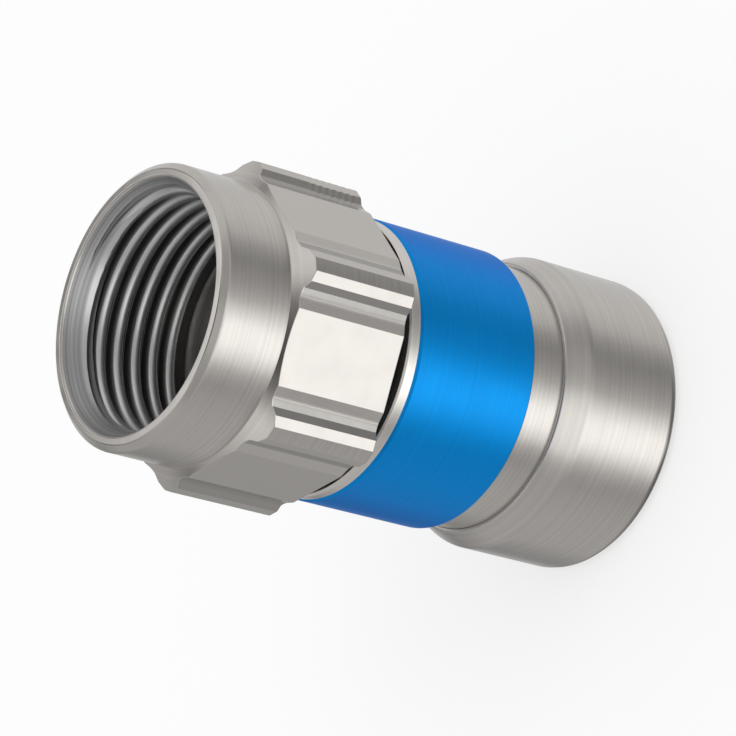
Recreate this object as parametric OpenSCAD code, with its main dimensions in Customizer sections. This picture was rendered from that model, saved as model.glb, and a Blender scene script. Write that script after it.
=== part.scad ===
/* [Thread] */
// Diameter at the roots of the nut's thread
thread_root_d = 9.56; // [9.5:0.02:9.8]
// Height of the thread, from its roots to its crests
thread_h = 0.42; // [0.36:0.01:0.45]
// Distance from one turn of the thread to the next
thread_pitch = 0.794; // [0.7:0.001:0.9]
// Width of the flat at the root of each groove
thread_root_w = 0.09; // [0.05:0.01:0.12]
// Angle between the two flanks of a groove
thread_angle = 60; // [55:1:60]
// Number of turns behind the lead-in
thread_turns = 5; // [4:1:6]
// Length of the tapered lead-in, from the mouth to the thread's crests
lead_in_len = 0.93; // [0.8:0.01:1]
// Width of the lead-in at the mouth, outside the thread's roots
lead_in_w = 0.04; // [0.02:0.01:0.1]
// Depth of the plain relief behind the thread, outside its roots
relief_depth = 0.25; // [0.2:0.01:0.3]

/* [Coupling nut] */
// Wall of the nut at its flats, outside the thread's roots
nut_wall_t = 0.72; // [0.6:0.01:1]
// Wall of the round collar, outside the thread's roots
collar_wall_t = 0.57; // [0.4:0.01:0.7]
// Length of the hexagon
nut_hex_len = 4.95; // [4.4:0.05:7]
// Length of the round collar
nut_collar_len = 2.9; // [2.5:0.1:4]
// Amount turned off each corner of the hexagon
corner_cut_t = 0.15; // [0.1:0.01:0.25]
// Angle of the hexagon's front chamfer, measured from its end face
nut_chamfer_angle = 30; // [20:1:40]
// Width of the chamfer round the collar's front edge
rim_chamfer_w = 0.25; // [0.15:0.01:0.3]
// Width of the raised land in the middle of each flat
land_w = 2.84; // [2.4:0.02:3.2]
// Width of each groove beside the land
groove_w = 1.06; // [0.8:0.02:1.2]
// Depth of each groove
groove_depth = 0.15; // [0.1:0.01:0.2]
// Width of the groove's shallow slope, at the land
groove_slope_w = 0.34; // [0.2:0.02:0.4]
// Width of the groove's steep wall, at the corner
groove_wall_w = 0.18; // [0.1:0.02:0.25]
// Thickness of the shoulder inside the nut, which turns behind the ferrule's flange
nut_shoulder_t = 1; // [0.8:0.05:1.3]
// Length of the recess in the nut's rear face, which covers the seal
skirt_len = 0.6; // [0.4:0.05:0.7]
// Depth of that recess, outside the thread's roots
skirt_depth = 0.25; // [0.2:0.01:0.3]

/* [Ferrule] */
// Bore of the ferrule, which takes the cable's insulator
ferrule_bore_d = 5.1; // [4.5:0.1:5.7]
// Wall of the tube that slides under the cable's braid
ferrule_wall_t = 0.4; // [0.3:0.05:0.5]
// Length of that tube, behind the body's bulkhead
ferrule_tube_len = 7.4; // [6.4:0.1:8.2]
// Height of the barb at the tube's rear end
barb_h = 0.25; // [0.15:0.05:0.3]
// Length of the barb's slope
barb_len = 0.8; // [0.5:0.1:1.2]
// Wall left at the tip of the barb
barb_tip_t = 0.2; // [0.15:0.05:0.25]
// Thickness of the flange at the front end
flange_t = 1.05; // [0.8:0.05:1.2]
// Chamfer of the flange's front edge and of the bore's front end
flange_chamfer_w = 0.15; // [0.1:0.05:0.25]

/* [Connector body] */
// Wall of the tube under the band and the sleeve
tube_wall_t = 1.15; // [1:0.05:1.4]
// Radial room for the cable's jacket in the chamber, beyond the cable entry
jacket_room = 0.2; // [0.15:0.01:0.3]
// Wall left at the tube's rear mouth
mouth_wall_t = 0.33; // [0.25:0.01:0.4]
// Length of the bulkhead that grips the hub, from the nose to the chamber
bulkhead_len = 2.8; // [2.2:0.1:3.4]
// Height of the bright ring in front of the band, above the tube
ring_h = 0.25; // [0.2:0.01:0.3]
// Width of the bright ring
ring_w = 0.5; // [0.4:0.05:0.8]
// Chamfer of the bright ring's front edge
ring_chamfer_w = 0.08; // [0.05:0.01:0.15]
// Wall of the nose that carries the nut's seal
nose_wall_t = 0.5; // [0.3:0.05:0.6]

/* [Colour band] */
// Wall of the band
band_t = 0.3; // [0.25:0.01:0.4]
// Length of the band
band_len = 5.4; // [4.5:0.1:6.5]
// Width of the bevel at both ends of the band
band_bevel_w = 0.1; // [0.05:0.01:0.15]

/* [Compression sleeve] */
// Travel of the sleeve along the bare neck when it is pressed home
sleeve_travel = 1.5; // [1:0.05:2]
// Wall of the sleeve
sleeve_wall_t = 0.53; // [0.45:0.01:0.7]
// Length of the sleeve
sleeve_len = 5.4; // [4.8:0.1:6.5]
// Length of the flare at the sleeve's front end
flare_len = 1; // [0.6:0.1:1.4]
// Thickness of the lip at the front of the flare
lip_t = 0.1; // [0.08:0.01:0.2]
// Radius of the sleeve's rounded rear edge
rear_round_r = 0.55; // [0.3:0.05:0.8]
// Thickness of the sleeve's rear wall
rear_wall_t = 0.95; // [0.8:0.05:1.1]
// Hole in the rear wall, which takes the cable's jacket
cable_entry_d = 7.5; // [6.8:0.1:8.4]
// Chamfer round that hole
entry_chamfer_w = 0.2; // [0.1:0.05:0.3]

/* [Grip ring] */
// Thickness of the seat that rests on the sleeve's rear wall
grip_seat_t = 0.7; // [0.5:0.05:0.9]
// Length of the cone in front of the seat
grip_cone_len = 1.3; // [1:0.1:1.5]
// Wall at the nose of the cone
grip_nose_t = 0.25; // [0.2:0.01:0.3]
// Depth of the teeth in the bore
grip_tooth_h = 0.08; // [0.05:0.01:0.1]
// Number of teeth in the bore
grip_teeth = 3; // [2:1:4]

/* [Seals] */
// Cord diameter of the seal between the nut and the body
nut_seal_d = 0.9; // [0.8:0.05:1.1]
// Cord diameter of the seal between the body and the sleeve
sleeve_seal_d = 0.45; // [0.35:0.05:0.5]
// Distance from the sleeve's front end to the middle of its seal
sleeve_seal_depth = 0.8; // [0.6:0.05:0.9]

/* [Fits] */
// Radial clearance of the nut on the ferrule's hub
run_play = 0.05; // [0.02:0.01:0.08]
// Radial clearance of the sleeve on the body's tube
slide_play = 0.05; // [0.02:0.01:0.08]
// End clearance of the nut's shoulder on each side
end_play = 0.06; // [0.03:0.01:0.1]
// Clearance left in front of the sleeve and its grip ring when they are pressed home
stop_play = 0.05; // [0.03:0.01:0.1]
// Clearance round the seals and the cone of the grip ring
seal_play = 0.12; // [0.08:0.01:0.15]
// Radial clearance of the flange inside the thread, and of the cable in the grip ring
pass_play = 0.1; // [0.05:0.01:0.15]

/* [Hidden] */
$fn = 96;
nut_sides = 6;
// Cuts run this far past the faces that they open
over = 1;

// Radii that follow from the nut's thread, outwards and then inwards to the hub
thread_root_r = thread_root_d / 2;
thread_crest_r = thread_root_r - thread_h;
flat_r = thread_root_r + nut_wall_t;
corner_r = flat_r / cos(180 / nut_sides) - corner_cut_t;
collar_r = thread_root_r + collar_wall_t;
relief_r = thread_root_r + relief_depth;
skirt_r = thread_root_r + skirt_depth;
flange_r = thread_crest_r - pass_play;
nose_r = skirt_r - seal_play - nut_seal_d;
hub_r = nose_r - nose_wall_t;
shoulder_bore_r = hub_r + run_play;

// Radii that follow from the cable
ferrule_bore_r = ferrule_bore_d / 2;
ferrule_tube_r = ferrule_bore_r + ferrule_wall_t;
entry_r = cable_entry_d / 2;
chamber_r = entry_r + jacket_room;
tube_r = chamber_r + tube_wall_t;
ring_r = tube_r + ring_h;
band_r = tube_r + band_t;
sleeve_bore_r = tube_r + slide_play;
sleeve_r = sleeve_bore_r + sleeve_wall_t;
mouth_r = tube_r - mouth_wall_t;
grip_bore_r = entry_r + pass_play / 2;
grip_nose_r = grip_bore_r + grip_nose_t;
grip_cone_r = mouth_r - seal_play;

// Heights, from the rear end face at 0 towards the mouth
neck_len = sleeve_travel + stop_play;
band_rear_z = sleeve_len + neck_len;
band_front_z = band_rear_z + band_len;
ring_front_z = band_front_z + ring_w;
nose_front_z = ring_front_z + nut_seal_d + seal_play;
shoulder_rear_z = nose_front_z + end_play;
shoulder_front_z = shoulder_rear_z + nut_shoulder_t;
nut_rear_z = shoulder_rear_z - skirt_len;
hex_front_z = nut_rear_z + nut_hex_len;
mouth_z = hex_front_z + nut_collar_len;
lead_in_end_z = mouth_z - lead_in_len;
thread_end_z = lead_in_end_z - thread_turns * thread_pitch;
flange_rear_z = shoulder_front_z + end_play;
flange_front_z = flange_rear_z + flange_t;
bulkhead_rear_z = nose_front_z - bulkhead_len;
barb_tip_z = bulkhead_rear_z - ferrule_tube_len;
grip_seat_z = rear_wall_t + grip_seat_t;
grip_nose_z = grip_seat_z + grip_cone_len;
tube_rear_z = grip_seat_z + neck_len;
sleeve_seal_z = sleeve_len - sleeve_seal_depth;
seal_groove_w = sleeve_seal_d + seal_play;

// A groove beside the land of one flat, as the cutter's section
module flat_groove() {
    inner_x = land_w / 2;
    outer_x = inner_x + groove_w;
    bottom_y = flat_r - groove_depth;
    polygon([
        [inner_x, flat_r],
        [inner_x + groove_slope_w, bottom_y],
        [outer_x - groove_wall_w, bottom_y],
        [outer_x, flat_r],
        [outer_x, flat_r + over],
        [inner_x, flat_r + over]
    ]);
}

// The section of the bar: a hexagon with two grooves on each flat
module hex_section() {
    difference() {
        circle(r = flat_r / cos(180 / nut_sides), $fn = nut_sides);
        for (side = [0 : nut_sides - 1], hand = [0, 1])
            rotate(side * 360 / nut_sides)
                mirror([hand, 0])
                    flat_groove();
    }
}

// The nut as it is turned, with its threaded bore, relief, shoulder and the recess for the seal.
// Each turn of the thread is a closed groove here, so its crests are round walls
module turned_nut() {
    chamfer_len = (corner_r - collar_r) * tan(nut_chamfer_angle);
    flank_w = thread_h * tan(thread_angle / 2);
    groove_section = [
        [thread_crest_r, 0],
        [thread_root_r, flank_w],
        [thread_root_r, flank_w + thread_root_w],
        [thread_crest_r, 2 * flank_w + thread_root_w]
    ];
    grooves = [for (turn = [0 : thread_turns - 1], corner = groove_section)
        [corner[0], lead_in_end_z - turn * thread_pitch - corner[1]]];
    rotate_extrude()
        polygon(concat([
            [skirt_r, nut_rear_z],
            [corner_r, nut_rear_z],
            [corner_r, hex_front_z - chamfer_len],
            [collar_r, hex_front_z],
            [collar_r, mouth_z - rim_chamfer_w],
            [collar_r - rim_chamfer_w, mouth_z],
            [thread_root_r + lead_in_w, mouth_z]
        ], grooves, [
            [thread_crest_r, thread_end_z],
            [relief_r, thread_end_z],
            [relief_r, shoulder_front_z],
            [shoulder_bore_r, shoulder_front_z],
            [shoulder_bore_r, shoulder_rear_z],
            [skirt_r, shoulder_rear_z]
        ]));
}

module coupling_nut() {
    color([0.72, 0.71, 0.68])
        difference() {
            turned_nut();
            // The flats and their grooves, as far as the collar
            translate([0, 0, nut_rear_z - over])
                linear_extrude(nut_hex_len + over)
                    difference() {
                        circle(corner_r + over);
                        hex_section();
                    }
        }
}

module ferrule() {
    barb_z = barb_tip_z + barb_len;
    color([0.66, 0.65, 0.62])
        rotate_extrude()
            polygon([
                [ferrule_bore_r, barb_tip_z],
                [ferrule_bore_r + barb_tip_t, barb_tip_z],
                [ferrule_tube_r + barb_h, barb_z],
                [ferrule_tube_r, barb_z],
                [ferrule_tube_r, bulkhead_rear_z],
                [hub_r, bulkhead_rear_z],
                [hub_r, flange_rear_z],
                [flange_r, flange_rear_z],
                [flange_r, flange_front_z - flange_chamfer_w],
                [flange_r - flange_chamfer_w, flange_front_z],
                [ferrule_bore_r + flange_chamfer_w, flange_front_z],
                [ferrule_bore_r, flange_front_z - flange_chamfer_w]
            ]);
}

module connector_body() {
    groove_r = tube_r - sleeve_seal_d;
    groove_low_z = sleeve_seal_z - seal_groove_w / 2;
    groove_high_z = groove_low_z + seal_groove_w;
    // The tube's rear mouth is a cone that clears the grip ring when it is pressed home
    cone_slope = (grip_cone_r - grip_nose_r) / grip_cone_len;
    cone_end_z = tube_rear_z + (mouth_r - chamber_r) / cone_slope;
    color([0.72, 0.71, 0.68])
        rotate_extrude()
            polygon([
                [mouth_r, tube_rear_z],
                [tube_r, tube_rear_z],
                [tube_r, groove_low_z],
                [groove_r, groove_low_z],
                [groove_r, groove_high_z],
                [tube_r, groove_high_z],
                [tube_r, band_front_z],
                [ring_r, band_front_z],
                [ring_r, ring_front_z - ring_chamfer_w],
                [ring_r - ring_chamfer_w, ring_front_z],
                [nose_r, ring_front_z],
                [nose_r, nose_front_z],
                [hub_r, nose_front_z],
                [hub_r, bulkhead_rear_z],
                [chamber_r, bulkhead_rear_z],
                [chamber_r, cone_end_z]
            ]);
}

module colour_band() {
    color([0, 0.45, 0.85])
        rotate_extrude()
            polygon([
                [tube_r, band_rear_z],
                [band_r - band_bevel_w, band_rear_z],
                [band_r, band_rear_z + band_bevel_w],
                [band_r, band_front_z - band_bevel_w],
                [band_r - band_bevel_w, band_front_z],
                [tube_r, band_front_z]
            ]);
}

// The corner that the sleeve's rear rounding takes away
module rear_corner_cut() {
    translate([sleeve_r - rear_round_r, 0])
        difference() {
            translate([0, -over])
                square([rear_round_r + over, rear_round_r + over]);
            translate([0, rear_round_r])
                circle(rear_round_r);
        }
}

module compression_sleeve() {
    color([0.72, 0.71, 0.68])
        rotate_extrude()
            difference() {
                polygon([
                    [entry_r + entry_chamfer_w, 0],
                    [sleeve_r, 0],
                    [sleeve_r, sleeve_len - flare_len],
                    [sleeve_bore_r + lip_t, sleeve_len],
                    [sleeve_bore_r, sleeve_len],
                    [sleeve_bore_r, rear_wall_t],
                    [entry_r, rear_wall_t],
                    [entry_r, entry_chamfer_w]
                ]);
                rear_corner_cut();
            }
}

module grip_ring() {
    tooth_pitch = (grip_nose_z - rear_wall_t) / grip_teeth;
    // Each tooth is a crest at the bore and the root behind it
    teeth = [for (tooth = [0 : grip_teeth - 1], half = [0, 1])
        [grip_bore_r + half * grip_tooth_h, grip_nose_z - (tooth + half / 2) * tooth_pitch]];
    color([0.92, 0.92, 0.9])
        rotate_extrude()
            polygon(concat(teeth, [
                [grip_bore_r, rear_wall_t],
                [sleeve_bore_r, rear_wall_t],
                [sleeve_bore_r, grip_seat_z],
                [grip_cone_r, grip_seat_z],
                [grip_nose_r, grip_nose_z]
            ]));
}

// A round-section seal, given by the radius of its seat and its height
module seal_ring(seat_r, cord_d, middle_z) {
    translate([0, 0, middle_z])
        rotate_extrude()
            translate([seat_r + cord_d / 2, 0])
                circle(d = cord_d);
}

module nut_seal_ring() {
    color([0.08, 0.08, 0.08])
        seal_ring(nose_r, nut_seal_d, ring_front_z + nut_seal_d / 2);
}

module sleeve_seal_ring() {
    color([0.08, 0.08, 0.08])
        seal_ring(tube_r - sleeve_seal_d, sleeve_seal_d, sleeve_seal_z);
}

coupling_nut();
ferrule();
connector_body();
colour_band();
compression_sleeve();
grip_ring();
nut_seal_ring();
sleeve_seal_ring();
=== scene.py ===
"""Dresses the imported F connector: turned and milled pieces in plated brass, a blue anodised band, a threaded
bore, a white studio and a camera at the photograph's viewing angle."""

import math

import bpy
import numpy as np
from mathutils import Matrix, Vector


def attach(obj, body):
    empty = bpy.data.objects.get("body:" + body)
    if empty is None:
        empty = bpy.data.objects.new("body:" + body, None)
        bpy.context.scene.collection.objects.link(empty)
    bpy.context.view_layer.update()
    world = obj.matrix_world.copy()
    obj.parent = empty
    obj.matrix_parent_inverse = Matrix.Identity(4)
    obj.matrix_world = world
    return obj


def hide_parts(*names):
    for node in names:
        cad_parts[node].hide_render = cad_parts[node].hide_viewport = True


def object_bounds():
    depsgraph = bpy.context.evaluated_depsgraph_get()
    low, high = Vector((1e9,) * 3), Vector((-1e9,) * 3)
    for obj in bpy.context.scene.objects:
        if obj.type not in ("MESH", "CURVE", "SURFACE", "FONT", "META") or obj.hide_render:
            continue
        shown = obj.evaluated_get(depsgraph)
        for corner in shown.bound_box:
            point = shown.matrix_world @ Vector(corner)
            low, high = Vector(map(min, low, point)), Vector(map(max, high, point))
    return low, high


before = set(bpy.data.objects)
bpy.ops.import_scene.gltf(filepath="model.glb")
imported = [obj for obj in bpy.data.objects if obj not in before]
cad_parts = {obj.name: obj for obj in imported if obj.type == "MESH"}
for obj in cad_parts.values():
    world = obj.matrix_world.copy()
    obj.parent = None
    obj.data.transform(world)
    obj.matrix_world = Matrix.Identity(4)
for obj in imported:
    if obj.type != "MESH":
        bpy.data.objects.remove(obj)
cad_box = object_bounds()

MM = 0.001

# Sizes in millimetres, as in the source
NUT_SIDES = 6
THREAD_ROOT_R = 4.78
THREAD_H = 0.42
THREAD_PITCH = 25.4 / 32
THREAD_ANGLE = 60
LEAD_IN_W = 0.04
LEAD_IN_LEN = 0.93
RIM_CHAMFER_W = 0.25
RELIEF_R = 5.03
FLAT_R = 5.5
CORNER_CUT_T = 0.15
CORNER_R = FLAT_R / math.cos(math.pi / NUT_SIDES) - CORNER_CUT_T
NUT_CHAMFER_ANGLE = 30
COLLAR_R = 5.35
SHOULDER_BORE_R = 3.56
FLANGE_R = 4.26
FLANGE_CHAMFER_W = 0.15
NOSE_R = 4.01
HUB_R = 3.51
FERRULE_BORE_R = 2.55
FERRULE_TUBE_R = 2.95
BARB_H = 0.25
BARB_LEN = 0.8
BARB_TIP_T = 0.2
ENTRY_R = 3.75
ENTRY_CHAMFER_W = 0.2
CHAMBER_R = 3.95
TUBE_R = 5.1
RING_R = 5.35
RING_CHAMFER_W = 0.08
BAND_R = 5.4
BAND_BEVEL_W = 0.1
SLEEVE_BORE_R = 5.15
SLEEVE_R = 5.68
REAR_ROUND_R = 0.55
FLARE_LEN = 1
LIP_T = 0.1
TUBE_MOUTH_R = 4.77
SLEEVE_SEAL_D = 0.45
SEAL_GROOVE_W = 0.57
GRIP_CONE_LEN = 1.3
GRIP_CONE_R = 4.65
GRIP_NOSE_R = 4.05

REAR_WALL_Z = 0.95
TUBE_REAR_Z = 3.2
BARB_TIP_Z = 3.67
SLEEVE_SEAL_Z = 4.6
SLEEVE_FRONT_Z = 5.4
BAND_REAR_Z = 6.95
BULKHEAD_REAR_Z = 11.07
BAND_FRONT_Z = 12.35
RING_FRONT_Z = 12.85
NUT_REAR_Z = 13.33
NOSE_FRONT_Z = 13.87
SHOULDER_REAR_Z = 13.93
SHOULDER_FRONT_Z = 14.93
FLANGE_REAR_Z = 14.99
FLANGE_FRONT_Z = 16.04
THREAD_END_Z = 16.28
HEX_FRONT_Z = 18.28
MOUTH_Z = 21.18

# Colours, as linear red, green and blue
PLATING = (0.68, 0.65, 0.615)
# The bore's plating is painted lighter than the rest, as painted light on the thread's crests
BORE_PLATING_PAINTED_LIGHT = (0.76, 0.76, 0.76)
# A darker copy of the plating: painted shade on the floors of the nut's grooves
SHADED_GROOVE_PLATING = (0.5, 0.485, 0.46)
BLUE = (0.0, 0.31, 0.84)
BLUE_EDGE = (0.02, 0.3, 0.75)
RUBBER = (0.012, 0.012, 0.013)
ACETAL = (0.85, 0.85, 0.82)
BLACK = (0, 0, 0)

# Pieces made of rows and columns of points

TURNED_SEGMENTS = 224
FILLET_STEPS = 4
# A corner's fillet takes this many rows
CORNER_ROWS = FILLET_STEPS + 1
# A fillet takes no more than this share of the side next to it
FILLET_SHARE = 0.48
UP = np.array([0.0, 0.0, 1.0])


def smooth_path(points, closed=True, share=FILLET_SHARE):
    """Rounds the corners of a path of (x, y, fillet radius), which runs with its outside on the right. Returns
    an array of rows x, y, and the outward normal there."""
    corners = np.array([p[:2] for p in points], float)
    count = len(corners)
    rows = []
    for i, (point, fillet) in enumerate(zip(corners, [p[2] for p in points])):
        if not closed and i in (0, count - 1):
            a, b = (corners[0], corners[1]) if i == 0 else (corners[-2], corners[-1])
            d = (b - a) / np.linalg.norm(b - a)
            rows.append([*point, d[1], -d[0]])
            continue
        before, after = corners[i - 1], corners[(i + 1) % count]
        len_in, len_out = np.linalg.norm(point - before), np.linalg.norm(after - point)
        d_in, d_out = (point - before) / len_in, (after - point) / len_out
        turn = math.atan2(d_in[0] * d_out[1] - d_in[1] * d_out[0], float(d_in @ d_out))
        reach = min(fillet * math.tan(abs(turn) / 2), share * min(len_in, len_out))
        radius = reach / math.tan(abs(turn) / 2)
        side = 1.0 if turn > 0 else -1.0
        normal = np.array([d_in[1], -d_in[0]])
        centre = point - d_in * reach - side * radius * normal
        for step in range(CORNER_ROWS):
            angle = turn * step / FILLET_STEPS
            n = np.array([normal[0] * math.cos(angle) - normal[1] * math.sin(angle),
                          normal[0] * math.sin(angle) + normal[1] * math.cos(angle)])
            rows.append([*(centre + side * radius * n), *n])
    return np.array(rows)


def fine_path(path, step):
    """The path with more points on its long straight stretches."""
    rows = []
    for a, b in zip(path[:-1], path[1:]):
        parts = max(1, math.ceil(np.linalg.norm(b[:2] - a[:2]) / step))
        for k in range(parts):
            row = a + (b - a) * k / parts
            row[2:] /= np.linalg.norm(row[2:])
            rows.append(row)
    rows.append(path[-1])
    return np.array(rows)


def new_piece(name, points, normals, faces, materials):
    """A piece from points in millimetres, the normals there, and faces as lists of point numbers."""
    mesh = bpy.data.meshes.new(name)
    mesh.from_pydata((points.reshape(-1, 3) * MM).tolist(), [], faces)
    mesh.shade_smooth()
    mesh.normals_split_custom_set_from_vertices(normals.reshape(-1, 3).tolist())
    for material in materials:
        mesh.materials.append(material)
    piece = bpy.data.objects.new(name, mesh)
    bpy.context.scene.collection.objects.link(piece)
    return piece


def grid_piece(name, points, normals, materials, body, nodes):
    """A piece from a grid of points, rows by columns, which closes on itself both ways."""
    rows, cols = points.shape[:2]
    low = np.arange(rows * cols).reshape(rows, cols)
    high = np.roll(low, -1, 0)
    quads = np.stack([low, np.roll(low, -1, 1), np.roll(high, -1, 1), high], -1).reshape(-1, 4)
    piece = new_piece(name, points, normals, quads.tolist(), materials)
    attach(piece, body)
    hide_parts(*nodes)
    return piece


def directions(angles):
    """Unit vectors away from the axis at these angles."""
    return np.stack([np.cos(angles), np.sin(angles), np.zeros(len(angles))], -1)


def lathe(name, outline, materials, body, nodes):
    """A turned piece from its outline of (radius, height, fillet), with its outside on the right."""
    path = smooth_path(outline)
    out = directions(np.linspace(0, 2 * math.pi, TURNED_SEGMENTS, endpoint=False))
    points = path[:, None, 0:1] * out + path[:, None, 1:2] * UP
    normals = path[:, None, 2:3] * out + path[:, None, 3:4] * UP
    return grid_piece(name, points, normals, materials, body, nodes)


def set_slots(piece, slots):
    """Gives a piece's faces their materials, from an array of slot numbers."""
    piece.data.polygons.foreach_set("material_index", slots.reshape(-1))


# Materials


def new_material(name, **sockets):
    """A material with one Principled shader, and those of its sockets set."""
    material = bpy.data.materials.new(name)
    material.use_nodes = True
    shader = material.node_tree.nodes["Principled BSDF"]
    for socket, value in sockets.items():
        shader.inputs[socket.replace("_", " ")].default_value = value
    return material, material.node_tree, shader


def put(tree, socket, value):
    """Sets a socket to a number, or links it to another node's output."""
    if isinstance(value, (int, float)):
        socket.default_value = value
    else:
        tree.links.new(value, socket)


def math_node(tree, operation, a, b=0.0, c=0.0):
    """A Math node on links or numbers, as its output."""
    node = tree.nodes.new("ShaderNodeMath")
    node.operation = operation
    for socket, value in zip(node.inputs, (a, b, c)):
        put(tree, socket, value)
    return node.outputs[0]


def clamp(tree, value, low=0.0, high=1.0):
    return math_node(tree, "MINIMUM", math_node(tree, "MAXIMUM", value, low), high)


def map_range(tree, value, start, end, low=0.0, high=1.0):
    """The low value before the start and the high one after the end, in either direction."""
    node = tree.nodes.new("ShaderNodeMapRange")
    node.inputs["From Min"].default_value = start
    node.inputs["From Max"].default_value = end
    node.inputs["To Min"].default_value = low
    node.inputs["To Max"].default_value = high
    tree.links.new(value, node.inputs["Value"])
    return node.outputs[0]


# Nearly all of a Noise node's factor lies between these
NOISE_RANGE = (0.3, 0.7)


def noise(tree, vector=None, w=None, scale=1.0, detail=2.0, roughness=0.5):
    """A Noise node in three dimensions from a vector, or in one from a number, as its factor."""
    node = tree.nodes.new("ShaderNodeTexNoise")
    node.inputs["Scale"].default_value = scale
    node.inputs["Detail"].default_value = detail
    node.inputs["Roughness"].default_value = roughness
    if w is not None:
        node.noise_dimensions = "1D"
        tree.links.new(w, node.inputs["W"])
    else:
        tree.links.new(vector, node.inputs["Vector"])
    return node.outputs[0]


def object_place(tree):
    """The point on the object in millimetres, as a vector and as its distance from the axis and its height."""
    coords = tree.nodes.new("ShaderNodeTexCoord")
    scale = tree.nodes.new("ShaderNodeVectorMath")
    scale.operation = "SCALE"
    scale.inputs["Scale"].default_value = 1 / MM
    tree.links.new(coords.outputs["Object"], scale.inputs[0])
    parts = tree.nodes.new("ShaderNodeSeparateXYZ")
    tree.links.new(scale.outputs[0], parts.inputs[0])
    x, y, z = parts.outputs
    radius = math_node(tree, "SQRT", math_node(tree, "ADD", math_node(tree, "MULTIPLY", x, x),
                                               math_node(tree, "MULTIPLY", y, y)))
    return scale.outputs[0], radius, z


def bump(tree, shader, height, distance_mm):
    node = tree.nodes.new("ShaderNodeBump")
    node.inputs["Strength"].default_value = 1.0
    node.inputs["Distance"].default_value = distance_mm * MM
    tree.links.new(height, node.inputs["Height"])
    tree.links.new(node.outputs[0], shader.inputs["Normal"])


def tint(tree, shader, factor, dark, light):
    """The base colour between two colours by a factor."""
    mix = tree.nodes.new("ShaderNodeMix")
    mix.data_type = "RGBA"
    # Sockets 6 and 7 are the node's A and B for colours, and output 2 is its colour
    tree.links.new(factor, mix.inputs["Factor"])
    mix.inputs[6].default_value = (*dark, 1)
    mix.inputs[7].default_value = (*light, 1)
    tree.links.new(mix.outputs[2], shader.inputs["Base Color"])


def shade(color, level):
    return tuple(c * level for c in color)


# How far the roughness of turned and of milled metal wanders below and above its own
TURNED_WANDER = (-0.03, 0.04)
MILLED_WANDER = (-0.03, 0.05)


def wander(tree, vector, scale, roughness, reach):
    """A roughness that varies in soft patches, which are smaller where the scale is higher."""
    cloud = noise(tree, vector=vector, scale=scale, detail=3.0)
    return map_range(tree, cloud, *NOISE_RANGE, roughness + reach[0], roughness + reach[1])


def turned_metal(name, color=PLATING, roughness=0.23, line_depth=0.0012, contrast=0.07, **sockets):
    """Plated metal with the fine rings that the lathe leaves, on walls and on end faces alike."""
    material, tree, shader = new_material(name, **{"Metallic": 1.0, **sockets})
    vector, radius, z = object_place(tree)
    along = math_node(tree, "ADD", z, radius)
    rings = noise(tree, w=along, scale=6.0, detail=4.0, roughness=0.75)
    tree.links.new(wander(tree, vector, 0.9, roughness, TURNED_WANDER), shader.inputs["Roughness"])
    factor = map_range(tree, rings, *NOISE_RANGE)
    tint(tree, shader, factor, shade(color, 1 - contrast), shade(color, 1 + contrast))
    bump(tree, shader, rings, line_depth)
    return material


# The painted shade in the thread's roots reaches this far past its ends, starts this far outside its crests and
# is this dark
ROOT_OVERRUN = 0.1
ROOT_START = 0.12
ROOT_PAINTED_SHADE = 0.7
# The lead-in is dull and painted darker in rings up to this far from its inner edge, with rings as dark as this
DULL_START = 0.17
RING_DARKNESS = (0.1, 0.5)
# How much of each shade comes in with a millimetre
ROOT_END_FADE, ROOT_FADE, DULL_FADE = 6.0, 7.0, 12.0
# The bore's roughness, and how much the dull part adds
BORE_ROUGHNESS, DULL_ROUGHNESS = 0.32, 0.14


def bore_metal(name):
    """The threaded bore: crests painted lighter than the plating over roots darkened with painted shade, and a
    duller lead-in, painted darker in the rings of its tool, with a painted highlight line at its inner edge.
    """
    material, tree, shader = new_material(name, Metallic=1.0)
    _, radius, z = object_place(tree)
    taper_end = MOUTH_Z - LEAD_IN_LEN
    behind_taper = math_node(tree, "SUBTRACT", taper_end + ROOT_OVERRUN, z)
    in_thread = math_node(tree, "SUBTRACT", z, THREAD_END_Z - ROOT_OVERRUN)
    reach = math_node(tree, "MULTIPLY", math_node(tree, "MINIMUM", behind_taper, in_thread), ROOT_END_FADE)
    outside_crests = math_node(tree, "SUBTRACT", radius, THREAD_ROOT_R - THREAD_H + ROOT_START)
    low = math_node(tree, "MULTIPLY", outside_crests, ROOT_FADE)
    root = math_node(tree, "MULTIPLY", clamp(tree, reach), clamp(tree, low))
    # The taper is dull and painted darker but for a light line at its inner edge, a painted highlight
    past_line = math_node(tree, "SUBTRACT", z, taper_end + DULL_START)
    dull = clamp(tree, math_node(tree, "MULTIPLY", past_line, DULL_FADE))
    rings = noise(tree, w=z, scale=4.5, detail=3.0, roughness=0.6)
    rings = map_range(tree, rings, *NOISE_RANGE, *RING_DARKNESS)
    dark = math_node(tree, "MAXIMUM", math_node(tree, "MULTIPLY", root, ROOT_PAINTED_SHADE),
                     math_node(tree, "MULTIPLY", dull, rings))
    tint(tree, shader, dark, BORE_PLATING_PAINTED_LIGHT, BLACK)
    roughness = math_node(tree, "MULTIPLY_ADD", dull, DULL_ROUGHNESS, BORE_ROUGHNESS)
    tree.links.new(roughness, shader.inputs["Roughness"])
    return material


# Strokes to a millimetre, across the cutter's path and along it
STROKES = (9.0, 9.0, 1.6)


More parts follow.
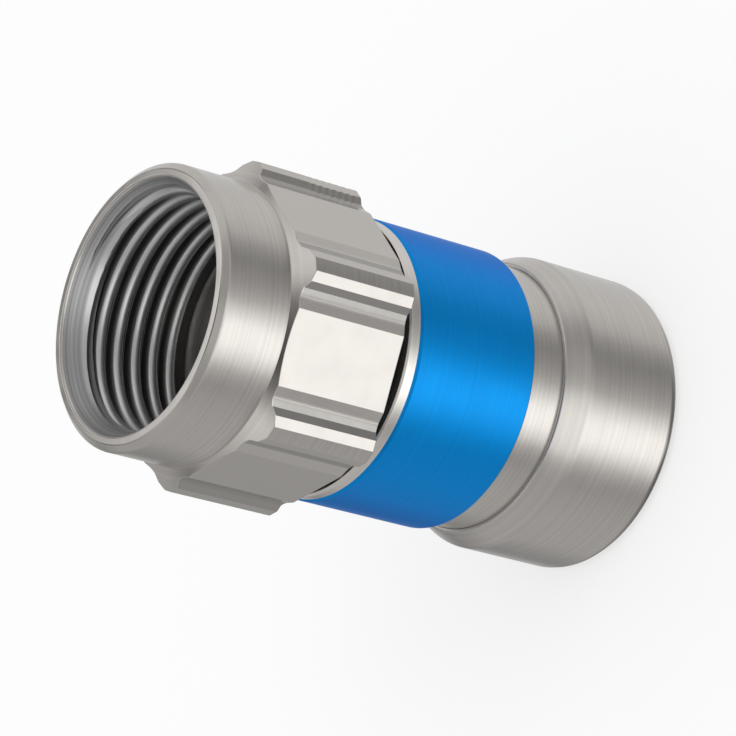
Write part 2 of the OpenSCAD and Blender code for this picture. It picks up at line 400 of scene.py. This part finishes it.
def milled_metal(name, color=PLATING, roughness=0.24, grain_depth=0.002):
    """Plated metal with the short strokes that a cutter leaves along the axis."""
    material, tree, shader = new_material(name, Base_Color=(*color, 1), Metallic=1.0)
    vector, _, _ = object_place(tree)
    squash = tree.nodes.new("ShaderNodeVectorMath")
    squash.operation = "MULTIPLY"
    squash.inputs[1].default_value = STROKES
    tree.links.new(vector, squash.inputs[0])
    strokes = noise(tree, vector=squash.outputs[0], detail=3.0, roughness=0.7)
    tree.links.new(wander(tree, vector, 1.1, roughness, MILLED_WANDER), shader.inputs["Roughness"])
    bump(tree, shader, strokes, grain_depth)
    return material


nut_metal = turned_metal("nut_turned")
nut_bore = bore_metal("nut_bore")
nut_milled = milled_metal("nut_milled", roughness=0.22)
# The grooves' floors are painted darker, as painted shade in the recesses
shaded_groove_metal = milled_metal("nut_groove", color=SHADED_GROOVE_PLATING, roughness=0.36, grain_depth=0.004)
# The grooves' steep walls are a darker copy of the plating, as painted shade
shaded_groove_wall = milled_metal("nut_groove_wall", color=shade(PLATING, 0.74), roughness=0.3)
# The polished rim is painted a lighter copy of the plating: painted light
rim_painted_light_metal = turned_metal("nut_rim_painted_light", color=shade(PLATING, 1.1), roughness=0.08, line_depth=0.0003)
body_metal = turned_metal("body_turned")
# The body's ring is painted a lighter copy of the plating: a painted highlight
ring_painted_light_metal = turned_metal("body_ring_painted_light", color=shade(PLATING, 1.25), roughness=0.2)
sleeve_metal = turned_metal("sleeve_turned")
# The ferrule, deep in the bore, is painted a darker copy of the plating: painted shade
ferrule_shaded_metal = turned_metal("ferrule_turned", color=shade(PLATING, 0.7), roughness=0.3)
band_blue = turned_metal("band_anodised", color=BLUE, roughness=0.36, contrast=0.05, Metallic=0.8,
                         Specular_Tint=(*BLUE_EDGE, 1), Coat_Weight=0.16, Coat_Roughness=0.22)
rubber, _, _ = new_material("seal_rubber", Base_Color=(*RUBBER, 1), Roughness=0.6)
acetal, _, _ = new_material("acetal", Base_Color=(*ACETAL, 1), Roughness=0.42)

for node, material in (("nut_seal_ring", rubber), ("sleeve_seal_ring", rubber), ("grip_ring", acetal)):
    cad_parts[node].data.materials.clear()
    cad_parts[node].data.materials.append(material)

# Turned pieces

SHARP = 0.02
EDGE = 0.05
FLARE_FILLET = 0.5
LIP_FILLET = 0.12
# The lip's edge curls in until it all but touches the neck
LIP_GAP = 0.006
LIP_R = TUBE_R + LIP_GAP
LIP_CURL_LEN = 0.15
SEAL_GROOVE_R = TUBE_R - SLEEVE_SEAL_D
SEAL_GROOVE_LOW_Z = SLEEVE_SEAL_Z - SEAL_GROOVE_W / 2
SEAL_GROOVE_HIGH_Z = SLEEVE_SEAL_Z + SEAL_GROOVE_W / 2
# The tube's mouth is as steep inside as the grip ring's cone
MOUTH_CONE_END_Z = TUBE_REAR_Z + (TUBE_MOUTH_R - CHAMBER_R) * GRIP_CONE_LEN / (GRIP_CONE_R - GRIP_NOSE_R)

lathe("ferrule_post", [
    (FERRULE_BORE_R, BARB_TIP_Z, SHARP), (FERRULE_BORE_R + BARB_TIP_T, BARB_TIP_Z, EDGE),
    (FERRULE_TUBE_R + BARB_H, BARB_TIP_Z + BARB_LEN, EDGE), (FERRULE_TUBE_R, BARB_TIP_Z + BARB_LEN, SHARP),
    (FERRULE_TUBE_R, BULKHEAD_REAR_Z, SHARP), (HUB_R, BULKHEAD_REAR_Z, SHARP),
    (HUB_R, FLANGE_REAR_Z, SHARP), (FLANGE_R, FLANGE_REAR_Z, SHARP),
    (FLANGE_R, FLANGE_FRONT_Z - FLANGE_CHAMFER_W, EDGE), (FLANGE_R - FLANGE_CHAMFER_W, FLANGE_FRONT_Z, EDGE),
    (FERRULE_BORE_R + FLANGE_CHAMFER_W, FLANGE_FRONT_Z, EDGE),
    (FERRULE_BORE_R, FLANGE_FRONT_Z - FLANGE_CHAMFER_W, EDGE)],
    [ferrule_shaded_metal], "body", ["ferrule"])

body_shell = lathe("body_shell", [
    (TUBE_MOUTH_R, TUBE_REAR_Z, SHARP), (TUBE_R, TUBE_REAR_Z, EDGE),
    (TUBE_R, SEAL_GROOVE_LOW_Z, SHARP), (SEAL_GROOVE_R, SEAL_GROOVE_LOW_Z, SHARP),
    (SEAL_GROOVE_R, SEAL_GROOVE_HIGH_Z, SHARP), (TUBE_R, SEAL_GROOVE_HIGH_Z, SHARP),
    (TUBE_R, BAND_FRONT_Z, SHARP), (RING_R, BAND_FRONT_Z, EDGE),
    (RING_R, RING_FRONT_Z - RING_CHAMFER_W, EDGE), (RING_R - RING_CHAMFER_W, RING_FRONT_Z, EDGE),
    (NOSE_R, RING_FRONT_Z, SHARP), (NOSE_R, NOSE_FRONT_Z, SHARP), (HUB_R, NOSE_FRONT_Z, SHARP),
    (HUB_R, BULKHEAD_REAR_Z, SHARP), (CHAMBER_R, BULKHEAD_REAR_Z, SHARP),
    (CHAMBER_R, MOUTH_CONE_END_Z, SHARP)],
    [body_metal, ring_painted_light_metal], "body", ["connector_body"])

# The ring, painted a lighter copy of the plating as a painted highlight, lies between these corners of the
# outline
RING_CORNERS = (7, 9)
body_slots = np.zeros((len(body_shell.data.polygons) // TURNED_SEGMENTS, TURNED_SEGMENTS), int)
body_slots[RING_CORNERS[0] * CORNER_ROWS:(RING_CORNERS[1] + 1) * CORNER_ROWS - 1] = 1
set_slots(body_shell, body_slots)

lathe("band_ring", [
    (TUBE_R, BAND_REAR_Z, SHARP), (BAND_R - BAND_BEVEL_W, BAND_REAR_Z, EDGE),
    (BAND_R, BAND_REAR_Z + BAND_BEVEL_W, EDGE), (BAND_R, BAND_FRONT_Z - BAND_BEVEL_W, EDGE),
    (BAND_R - BAND_BEVEL_W, BAND_FRONT_Z, EDGE), (TUBE_R, BAND_FRONT_Z, SHARP)],
    [band_blue], "body", ["colour_band"])

lathe("sleeve_shell", [
    (ENTRY_R + ENTRY_CHAMFER_W, 0, EDGE), (SLEEVE_R, 0, REAR_ROUND_R),
    (SLEEVE_R, SLEEVE_FRONT_Z - FLARE_LEN, FLARE_FILLET), (SLEEVE_BORE_R + LIP_T, SLEEVE_FRONT_Z, LIP_FILLET),
    (LIP_R, SLEEVE_FRONT_Z, SHARP), (LIP_R, SLEEVE_FRONT_Z - LIP_CURL_LEN, SHARP),
    (SLEEVE_BORE_R, SLEEVE_FRONT_Z - 2 * LIP_CURL_LEN, SHARP), (SLEEVE_BORE_R, REAR_WALL_Z, SHARP),
    (ENTRY_R, REAR_WALL_Z, SHARP), (ENTRY_R, ENTRY_CHAMFER_W, EDGE)],
    [sleeve_metal], "sleeve", ["compression_sleeve"])

# Coupling nut: columns round the milled section, rows along it and back through the bore

# The grooves are a little narrower than in the source, and their slopes are wider and rounder
LAND_W, GROOVE_W, GROOVE_DEPTH = 2.84, 1.03, 0.15
SLOPE_W, SLOPE_FILLET, WALL_W = 0.46, 0.9, 0.28
CORNER_FILLET = 0.06
CHAMFER_SLOPE = math.tan(math.radians(NUT_CHAMFER_ANGLE))
MAX_STEP = 0.22
TURNED_CORNER_POINTS = 7
# The lowest part of a slope or a steep wall counts as the groove's floor, and this share of it doesn't
ABOVE_FLOOR = 0.9
# How near a place on the section has to be to an edge to count as on it
NEAR = 0.01
# Kinds of place on the section
FLAT, GROOVE_FLOOR, CORNER, GROOVE_WALL = range(4)
# The nut's material slots
TURNED_SLOT, MILLED_SLOT, FLOOR_SLOT, BORE_SLOT, WALL_SLOT, RIM_SLOT = range(6)
NUT_MATERIALS = [nut_metal, nut_milled, shaded_groove_metal, nut_bore, shaded_groove_wall, rim_painted_light_metal]


def nut_section():
    """The nut's milled section as rows of x, y, outward normal, and the kind of place."""
    corner_x = math.sqrt(CORNER_R**2 - FLAT_R**2)
    outer, inner = LAND_W / 2 + GROOVE_W, LAND_W / 2
    low = FLAT_R - GROOVE_DEPTH
    half_side = math.pi / NUT_SIDES
    arc_in = (half_side - math.atan2(corner_x, FLAT_R)) / 2
    tip = half_side - arc_in
    half = [(CORNER_R * math.sin(tip), CORNER_R * math.cos(tip), 0), (corner_x, FLAT_R, CORNER_FILLET),
            (outer, FLAT_R, EDGE), (outer - WALL_W, low, EDGE), (inner + SLOPE_W, low, SLOPE_FILLET),
            (inner, FLAT_R, EDGE)]
    side = half + [(-x, y, r) for x, y, r in reversed(half)]
    side = fine_path(smooth_path(side, closed=False), MAX_STEP)
    flat_x = np.abs(side[:, 0])
    groove = (flat_x > inner + SLOPE_W * ABOVE_FLOOR) & (flat_x < outer + NEAR)
    kind = np.where(groove, np.where(flat_x > outer - WALL_W * ABOVE_FLOOR, GROOVE_WALL, GROOVE_FLOOR),
                    np.where(flat_x > corner_x - NEAR, CORNER, FLAT))
    side = np.column_stack([side, kind])
    # The turned corner between this side and the next, as seen from this one
    angles = np.linspace(-half_side + arc_in, -half_side - arc_in, TURNED_CORNER_POINTS)
    n = np.column_stack([np.sin(angles), np.cos(angles)])
    arc = np.column_stack([n * CORNER_R, n, np.full(len(angles), CORNER)])
    side[0, 2:4] = side[0, :2] / np.linalg.norm(side[0, :2])
    one = np.vstack([side[:-1], arc[:-1]])
    ring = []
    for k in range(NUT_SIDES):
        turn = k * 2 * math.pi / NUT_SIDES - math.pi
        c, s = math.cos(turn), math.sin(turn)
        spin = np.array([[c, -s], [s, c]])
        ring.append(np.column_stack([one[:, :2] @ spin.T, one[:, 2:4] @ spin.T, one[:, 4]]))
    return np.vstack(ring)


# The nut's own bore lies this far behind the roots of the threaded wall, which is a piece of its own
WALL_DEPTH = 0.12
WALL_R = THREAD_ROOT_R + WALL_DEPTH
TAPER_SLOPE = (THREAD_H + LEAD_IN_W) / LEAD_IN_LEN
# The rim's rounded inner edge stands this little proud of the taper, over this length
LIP_PROUD, LIP_LEN = 0.01, 0.12
LIP_EDGE_R = THREAD_ROOT_R + LEAD_IN_W - LIP_PROUD
STEP_FILLET, COLLAR_FILLET, RIM_FILLET, LIP_EDGE_FILLET = 0.03, 0.2, 0.12, 0.09
# The hexagon's wall has this many rows of its own, for the cutter's marks
WALL_ROWS = 72
# The cutter's marks on the corners are faint, but deep on the one that lies within this angle of +X
BEAD_PITCH, BEAD_DEPTH, FAINT_BEAD_DEPTH = 0.31, 0.03, 0.002
DEEP_BEAD_ANGLE = math.radians(8.8)
# They fade in from the nut's rear edge and out before the hexagon's front: where, and over what length
BEAD_FADE_IN = (0.15, 0.3)
BEAD_FADE_OUT = (2.3, 0.6)


def nut_outline(rho):
    """The nut's outline where its milled section is this far from the axis, from the skirt's edge outwards."""
    edge_z = HEX_FRONT_Z - (rho - COLLAR_R) * CHAMFER_SLOPE
    return smooth_path([
        (RELIEF_R, NUT_REAR_Z, SHARP), (rho, NUT_REAR_Z, EDGE), (rho, edge_z, EDGE),
        (COLLAR_R, HEX_FRONT_Z, STEP_FILLET), (COLLAR_R, MOUTH_Z - RIM_CHAMFER_W, COLLAR_FILLET),
        (COLLAR_R - RIM_CHAMFER_W, MOUTH_Z, RIM_FILLET), (LIP_EDGE_R, MOUTH_Z, LIP_EDGE_FILLET),
        (LIP_EDGE_R - LIP_LEN * TAPER_SLOPE, MOUTH_Z - LIP_LEN, SHARP),
        (WALL_R, MOUTH_Z - LIP_LEN, SHARP), (WALL_R, THREAD_END_Z, SHARP),
        (RELIEF_R, THREAD_END_Z, SHARP), (RELIEF_R, SHOULDER_FRONT_Z, SHARP),
        (SHOULDER_BORE_R, SHOULDER_FRONT_Z, SHARP), (SHOULDER_BORE_R, SHOULDER_REAR_Z, SHARP),
        (RELIEF_R, SHOULDER_REAR_Z, SHARP)])


# Corners of that outline
REAR_EDGE, FRONT_EDGE, RIM_EDGE, LIP_EDGE, WALL_START, SHOULDER_END = 1, 2, 5, 6, 8, 14


def first_row(corner):
    """The outline's row at which a corner's fillet starts, once the hexagon's wall has its fine rows."""
    return corner * CORNER_ROWS + (WALL_ROWS if corner > REAR_EDGE else 0)


def cut_beads(wall, depth):
    """Cuts the cutter's marks into rows of an outline."""
    z = wall[:, 1]
    fade = np.clip((z - NUT_REAR_Z - BEAD_FADE_IN[0]) / BEAD_FADE_IN[1], 0, 1)
    fade = fade * np.clip((HEX_FRONT_Z - BEAD_FADE_OUT[0] - z) / BEAD_FADE_OUT[1], 0, 1)
    phase = 2 * math.pi * (z - NUT_REAR_Z) / BEAD_PITCH
    wall[:, 0] -= depth * fade * (0.5 - 0.5 * np.cos(phase))
    wall[:, 3] += depth * fade * 0.5 * np.sin(phase) * 2 * math.pi / BEAD_PITCH


def make_nut():
    section = nut_section()
    cols = len(section)
    rho = np.linalg.norm(section[:, :2], axis=1)
    out = np.column_stack([section[:, :2] / rho[:, None], np.zeros(cols)])
    flat_n = np.column_stack([section[:, 2:4], np.zeros(cols)])
    wall_rows = slice(first_row(REAR_EDGE), first_row(FRONT_EDGE))
    share = np.linspace(0, 1, WALL_ROWS + 2)[1:-1, None]
    points, normals = [], []
    for j in range(cols):
        path = nut_outline(rho[j])
        # The wall between the rear edge and the front chamfer, in fine rows for the turned corners
        split = FRONT_EDGE * CORNER_ROWS
        low, high = path[split - 1], path[split]
        path = np.vstack([path[:split], low + (high - low) * share, path[split:]])
        use_flat = np.zeros(len(path))
        use_flat[wall_rows] = 1
        use_flat[wall_rows.stop:wall_rows.stop + CORNER_ROWS] = np.linspace(1, 0, CORNER_ROWS)
        beaded = out[j, 0] > math.cos(DEEP_BEAD_ANGLE)
        if beaded or section[j, 4] == CORNER:
            cut_beads(path[wall_rows], BEAD_DEPTH if beaded else FAINT_BEAD_DEPTH)
        side_dir = use_flat[:, None] * flat_n[j] + (1 - use_flat[:, None]) * out[j]
        n = path[:, 2:3] * side_dir + path[:, 3:4] * UP
        points.append(path[:, 0:1] * out[j] + path[:, 1:2] * UP)
        normals.append(n / np.linalg.norm(n, axis=1)[:, None])
    nut = grid_piece("nut_shell", np.stack(points, 1), np.stack(normals, 1), NUT_MATERIALS,
                     "nut", ["coupling_nut"])
    kinds, next_kinds = section[:, 4], np.roll(section[:, 4], -1)
    wall_slots = np.where((kinds == GROOVE_FLOOR) & (next_kinds == GROOVE_FLOOR), FLOOR_SLOT, MILLED_SLOT)
    wall_slots[(kinds == CORNER) & (next_kinds == CORNER)] = TURNED_SLOT
    steep = np.maximum(kinds, next_kinds) == GROOVE_WALL
    wall_slots[steep & (np.minimum(kinds, next_kinds) > FLAT)] = WALL_SLOT
    slots = np.full((len(points[0]), cols), TURNED_SLOT)
    # The milled wall and the rim each start part of the way up a fillet
    slots[wall_rows.stop - WALL_ROWS - 2:wall_rows.stop] = wall_slots
    slots[first_row(RIM_EDGE) + 2:first_row(LIP_EDGE) + 1] = RIM_SLOT
    slots[first_row(WALL_START):first_row(SHOULDER_END)] = BORE_SLOT
    set_slots(nut, slots)


make_nut()

# The threaded wall is a right-handed strip as wide as the pitch, wound inside the nut. The lead-in's taper cuts
# it at the mouth, and the relief at its inner end

THREAD_STEPS = 144
THREAD_PHASE = math.radians(227)
FLANK_SLOPE = math.tan(math.radians(THREAD_ANGLE / 2))
CREST_W = 0.22
# The crest's edge towards the mouth is well rounded, its other one is not
CREST_FILLETS = (0.05, 0.3)
ROOT_FILLET = 0.03
THREAD_FILLET_SHARE = 0.8
PROFILE_STEP = 0.035
# Depths between which the groove fades out in the lead-in
RUN_OUT = (0.36, 0.56)
# The wall stops this little short of the mouth, and its back lies this little inside the nut's own bore
MOUTH_GAP = 0.004
BACK_GAP = 0.02


def thread_profile():
    """One pitch of the wall, as rows of height above the roots, place along the axis and outward normal."""
    half = CREST_W / 2 + THREAD_H * FLANK_SLOPE
    side = THREAD_PITCH / 2
    corners = [(0, -side, 0), (0, -half, ROOT_FILLET), (THREAD_H, -CREST_W / 2, CREST_FILLETS[0]),
               (THREAD_H, CREST_W / 2, CREST_FILLETS[1]), (0, half, ROOT_FILLET), (0, side, 0)]
    return fine_path(smooth_path(corners, closed=False, share=THREAD_FILLET_SHARE), PROFILE_STEP)


def make_thread():
    profile = thread_profile()
    count = (MOUTH_Z - THREAD_END_Z) / THREAD_PITCH + 1
    turns = np.linspace(0, count, math.ceil(count * THREAD_STEPS) + 1)
    out = directions(2 * math.pi * turns + THREAD_PHASE)
    middle_z = THREAD_END_Z + THREAD_PITCH * (turns - 0.5)
    z = np.clip(middle_z + profile[:, 1:2], THREAD_END_Z, MOUTH_Z - MOUTH_GAP)
    # What the ends cut off falls on the wall's own edge there
    place = np.mod(z - middle_z + THREAD_PITCH / 2, THREAD_PITCH) - THREAD_PITCH / 2
    wall_r = THREAD_ROOT_R - np.interp(place, profile[:, 1], profile[:, 0])
    # The groove runs out in the lead-in, where it comes near the mouth
    groove_z = middle_z + np.where(place > 0, 0.5, -0.5) * THREAD_PITCH
    wall_r = wall_r - THREAD_H * np.clip((groove_z - MOUTH_Z + RUN_OUT[1]) / (RUN_OUT[1] - RUN_OUT[0]), 0, 1)
    taper_r = THREAD_ROOT_R + LEAD_IN_W - (MOUTH_Z - z) * TAPER_SLOPE
    cut = taper_r > wall_r
    inward = np.where(cut, 1.0, profile[:, 2:3])
    upward = np.where(cut, TAPER_SLOPE, profile[:, 3:4])
    length = np.hypot(inward, upward)
    points = np.maximum(wall_r, taper_r)[..., None] * out + z[..., None] * UP
    normals = (upward / length)[..., None] * UP - (inward / length)[..., None] * out
    back_z = np.clip(np.stack([middle_z + THREAD_PITCH / 2, middle_z - THREAD_PITCH / 2]), z.min(), z.max())
    back = (WALL_R - BACK_GAP) * out + back_z[..., None] * UP
    points = np.concatenate([points, back])
    normals = np.concatenate([normals, np.broadcast_to(out, back.shape)])
    rows, cols = points.shape[:2]
    low = np.arange(rows * cols).reshape(rows, cols)
    high = np.roll(low, -1, 0)
    quads = np.stack([low[:, :-1], high[:, :-1], high[:, 1:], low[:, 1:]], -1).reshape(-1, 4)
    ends = [low[::-1, 0].tolist(), low[:, -1].tolist()]
    thread = new_piece("nut_thread", points, normals, quads.tolist() + ends, [nut_bore])
    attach(thread, "nut")
    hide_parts("coupling_nut")


make_thread()

# Stage: a white floor, a plain studio round it and the photograph's viewing angle

scene = bpy.context.scene
scene.view_settings.view_transform = "Standard"

# Half the floor's width and its depth under the object, in metres
FLOOR_REACH = 1.5
FLOOR_DROP = 0.00002
FLOOR_GREY = 0.9
# The camera sees this share of the floor as plain white, and the rest of it as lit, with the object's shadow
FLOOR_GLOW = 0.6


def ray_kind(tree, name):
    return tree.nodes.new("ShaderNodeLightPath").outputs[name]


def make_floor():
    corners = [(-1, -1), (1, -1), (1, 1), (-1, 1)]
    mesh = bpy.data.meshes.new("floor")
    mesh.from_pydata([(x * FLOOR_REACH, y * FLOOR_REACH, 0) for x, y in corners], [], [(0, 1, 2, 3)])
    floor = bpy.data.objects.new("floor", mesh)
    floor.location.z = -FLOOR_DROP
    scene.collection.objects.link(floor)
    material = bpy.data.materials.new("floor_white")
    material.use_nodes = True
    tree = material.node_tree
    tree.nodes.clear()
    out = tree.nodes.new("ShaderNodeOutputMaterial")
    diffuse = tree.nodes.new("ShaderNodeBsdfDiffuse")
    diffuse.inputs["Color"].default_value = (FLOOR_GREY, FLOOR_GREY, FLOOR_GREY, 1)
    glow = tree.nodes.new("ShaderNodeEmission")
    glow.inputs["Color"].default_value = (1, 1, 1, 1)
    mix = tree.nodes.new("ShaderNodeMixShader")
    seen = math_node(tree, "MAXIMUM", ray_kind(tree, "Is Camera Ray"), ray_kind(tree, "Is Transmission Ray"))
    tree.links.new(math_node(tree, "MULTIPLY", seen, FLOOR_GLOW), mix.inputs[0])
    tree.links.new(diffuse.outputs[0], mix.inputs[1])
    tree.links.new(glow.outputs[0], mix.inputs[2])
    tree.links.new(mix.outputs[0], out.inputs["Surface"])
    mesh.materials.append(material)
    floor.visible_glossy = False


make_floor()

# The studio's walls as metal mirrors them: level by azimuth in degrees, from the camera's side to its left
WALLS = [(-180, 0.8), (-156, 0.66), (-140, 0.64), (-104, 0.66), (-84, 0.6), (-70, 0.36), (-58, 0.27),
         (-44, 0.34), (-28, 0.5), (-16, 0.95), (-6, 1.4), (10, 1.4), (20, 1.0), (30, 0.5), (42, 0.36),
         (58, 0.44), (80, 0.47), (110, 0.46), (132, 0.34), (146, 0.26), (156, 0.4), (168, 0.62), (180, 0.8)]
# The rest goes by the mirrored direction, a unit vector whose height is 1 straight up and whose depth is 1
# straight away from the camera. Each pair of heights or depths says where something starts and where it is full.
# The sky is bright above the walls and dark straight overhead, where the camera's hood would be: level by height
SKY = [(0.0, 0.6), (0.45, 0.75), (0.9, 0.95), (0.965, 0.12), (1.0, 0.04)]
SKY_HEIGHT = (0.7, 0.92)
# The walls grow plainer above the object's level
PLAIN_HEIGHT = (-0.05, 0.2)
PLAIN_LEVELS = (0.46, 1.0)
# A darker card hangs behind the object
CARD_BOTTOM, CARD_TOP, CARD_DEPTH = (0.3, 0.45), (0.546, 0.532), (0.35, 0.6)
CARD_DARKNESS = 0.7
# The sky is duller on the camera's side
FRONT_BOTTOM, FRONT_DEPTH = (0.6, 0.72), (-0.1, -0.3)
FRONT_DARKNESS = 0.45
# Less light comes from straight below, where the object stands
FOOT_HEIGHT = (-0.97, -0.72)
FOOT_LEVEL = 0.3


def grey_ramp(tree, place, levels):
    """A smooth ramp through grey levels at their places from 0 to 1."""
    node = tree.nodes.new("ShaderNodeValToRGB")
    tree.links.new(place, node.inputs[0])
    node.color_ramp.interpolation = "EASE"
    stops = node.color_ramp.elements
    stops[0].position, stops[1].position = levels[0][0], levels[-1][0]
    for stop_place, _ in levels[1:-1]:
        stops.new(stop_place)
    for stop, (_, level) in zip(stops, levels):
        stop.color = (level, level, level, 1)
    return node.outputs[0]


def blend(tree, factor, a, b):
    """Between two levels by a factor."""
    node = tree.nodes.new("ShaderNodeMix")
    tree.links.new(factor, node.inputs["Factor"])
    put(tree, node.inputs["A"], a)
    put(tree, node.inputs["B"], b)
    return node.outputs["Result"]


def darken(tree, level, part, darkness):
    """Takes this share of the level away where the part is 1."""
    return math_node(tree, "MULTIPLY", level, math_node(tree, "MULTIPLY_ADD", part, -darkness, 1.0))


def make_world():
    world = bpy.data.worlds.new("studio")
    scene.world = world
    world.use_nodes = True
    tree = world.node_tree
    coords = tree.nodes.new("ShaderNodeTexCoord")
    parts = tree.nodes.new("ShaderNodeSeparateXYZ")
    tree.links.new(coords.outputs["Generated"], parts.inputs[0])
    x, y, z = parts.outputs
    azimuth = math_node(tree, "ARCTAN2", math_node(tree, "MULTIPLY", x, -1.0),
                        math_node(tree, "MULTIPLY", y, -1.0))
    place = math_node(tree, "MULTIPLY_ADD", azimuth, 0.5 / math.pi, 0.5)
    # A ramp holds levels up to 1
    top = max(level for _, level in WALLS)
    ramp = grey_ramp(tree, place, [((angle + 180) / 360, level / top) for angle, level in WALLS])
    walls = math_node(tree, "MULTIPLY", ramp, top)
    plain = clamp(tree, walls, *PLAIN_LEVELS)
    walls = blend(tree, map_range(tree, z, *PLAIN_HEIGHT), walls, plain)
    card = math_node(tree, "MULTIPLY", map_range(tree, z, *CARD_BOTTOM), map_range(tree, z, *CARD_TOP))
    card = math_node(tree, "MULTIPLY", card, map_range(tree, y, *CARD_DEPTH))
    walls = darken(tree, walls, card, CARD_DARKNESS)
    foot = map_range(tree, z, *FOOT_HEIGHT, FOOT_LEVEL, 1.0)
    walls = math_node(tree, "MULTIPLY", walls, foot)
    room = blend(tree, map_range(tree, z, *SKY_HEIGHT), walls, grey_ramp(tree, z, SKY))
    front = math_node(tree, "MULTIPLY", map_range(tree, z, *FRONT_BOTTOM), map_range(tree, y, *FRONT_DEPTH))
    room = darken(tree, room, front, FRONT_DARKNESS)
    # Only metal mirrors the studio: all else sees plain white
    shown = blend(tree, ray_kind(tree, "Is Glossy Ray"), 1.0, room)
    tree.links.new(shown, tree.nodes["Background"].inputs["Color"])


make_world()


def make_lamp(name, place, energy, size):
    """A soft lamp that points at the object's foot, in metres and watts."""
    data = bpy.data.lights.new(name, "AREA")
    data.energy = energy
    data.size = size
    lamp = bpy.data.objects.new(name, data)
    lamp.location = place
    lamp.rotation_mode = "QUATERNION"
    lamp.rotation_quaternion = (-Vector(place)).to_track_quat("-Z", "Y")
    lamp.visible_glossy = False
    scene.collection.objects.link(lamp)


make_lamp("soft_lamp", place=(0.12, -0.1, 0.32), energy=0.12, size=0.14)

# The photograph's view, with the lens and its sensor in millimetres and the distances in metres
CAMERA_ELEVATION, CAMERA_ROLL = math.radians(35.7), math.radians(-75)
CAMERA_LENS, CAMERA_SENSOR = 214, 36
CAMERA_DISTANCE = 0.163
CAMERA_CLIP = (0.005, 10)


def make_camera():
    lo, hi = cad_box
    centre = (lo + hi) / 2
    back = Vector((0, -math.cos(CAMERA_ELEVATION), math.sin(CAMERA_ELEVATION)))
    right = Vector((1, 0, 0))
    above = back.cross(right)
    turned_right = right * math.cos(CAMERA_ROLL) + above * math.sin(CAMERA_ROLL)
    turned_above = -right * math.sin(CAMERA_ROLL) + above * math.cos(CAMERA_ROLL)
    rotation = Matrix((turned_right, turned_above, back)).transposed()
    data = bpy.data.cameras.new("camera")
    data.sensor_width = CAMERA_SENSOR
    data.lens = CAMERA_LENS
    data.clip_start, data.clip_end = CAMERA_CLIP
    camera = bpy.data.objects.new("camera", data)
    camera.matrix_world = Matrix.Translation(centre + back * CAMERA_DISTANCE) @ rotation.to_4x4()
    scene.collection.objects.link(camera)
    scene.camera = camera


make_camera()

bpy.context.view_layer.update()
